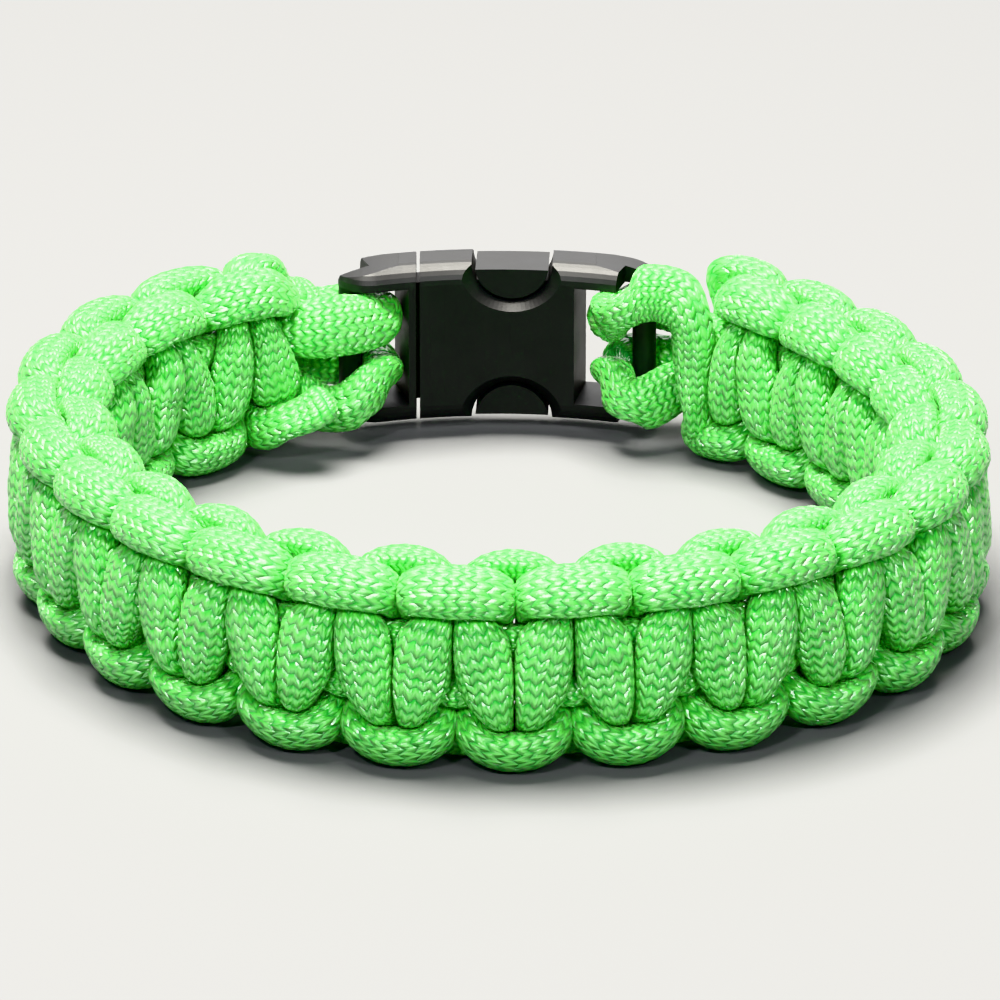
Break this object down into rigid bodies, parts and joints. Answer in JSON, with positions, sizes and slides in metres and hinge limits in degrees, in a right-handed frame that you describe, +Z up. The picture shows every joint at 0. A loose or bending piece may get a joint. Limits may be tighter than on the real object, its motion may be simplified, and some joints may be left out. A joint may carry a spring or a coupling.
{
  "type": "paracord bracelet",
  "caption": "Knotted cord bracelet in a closed loop, with a fastened side-release buckle at the back.",
  "frame": {"origin": "middle of the bracelet's bounding box, on the plane that its lower edge rests on", "axes": "+Z up along the loop's axis, +Y towards the buckle at the back, +X towards the buckle's socket half"},
  "size_m": [0.0796, 0.0776, 0.0171],
  "materials": {
    "cord": "neon-green braided nylon sheath with a slight gloss",
    "buckle": "black moulded acetal, satin with polished edges"
  },
  "bodies": {
    "root": {"buckle_socket": "buckle", "buckle_plug": "buckle", "core_cord": "cord", "outer_cord": "cord", "inner_cord": "cord"}
  },
  "joints": []
}
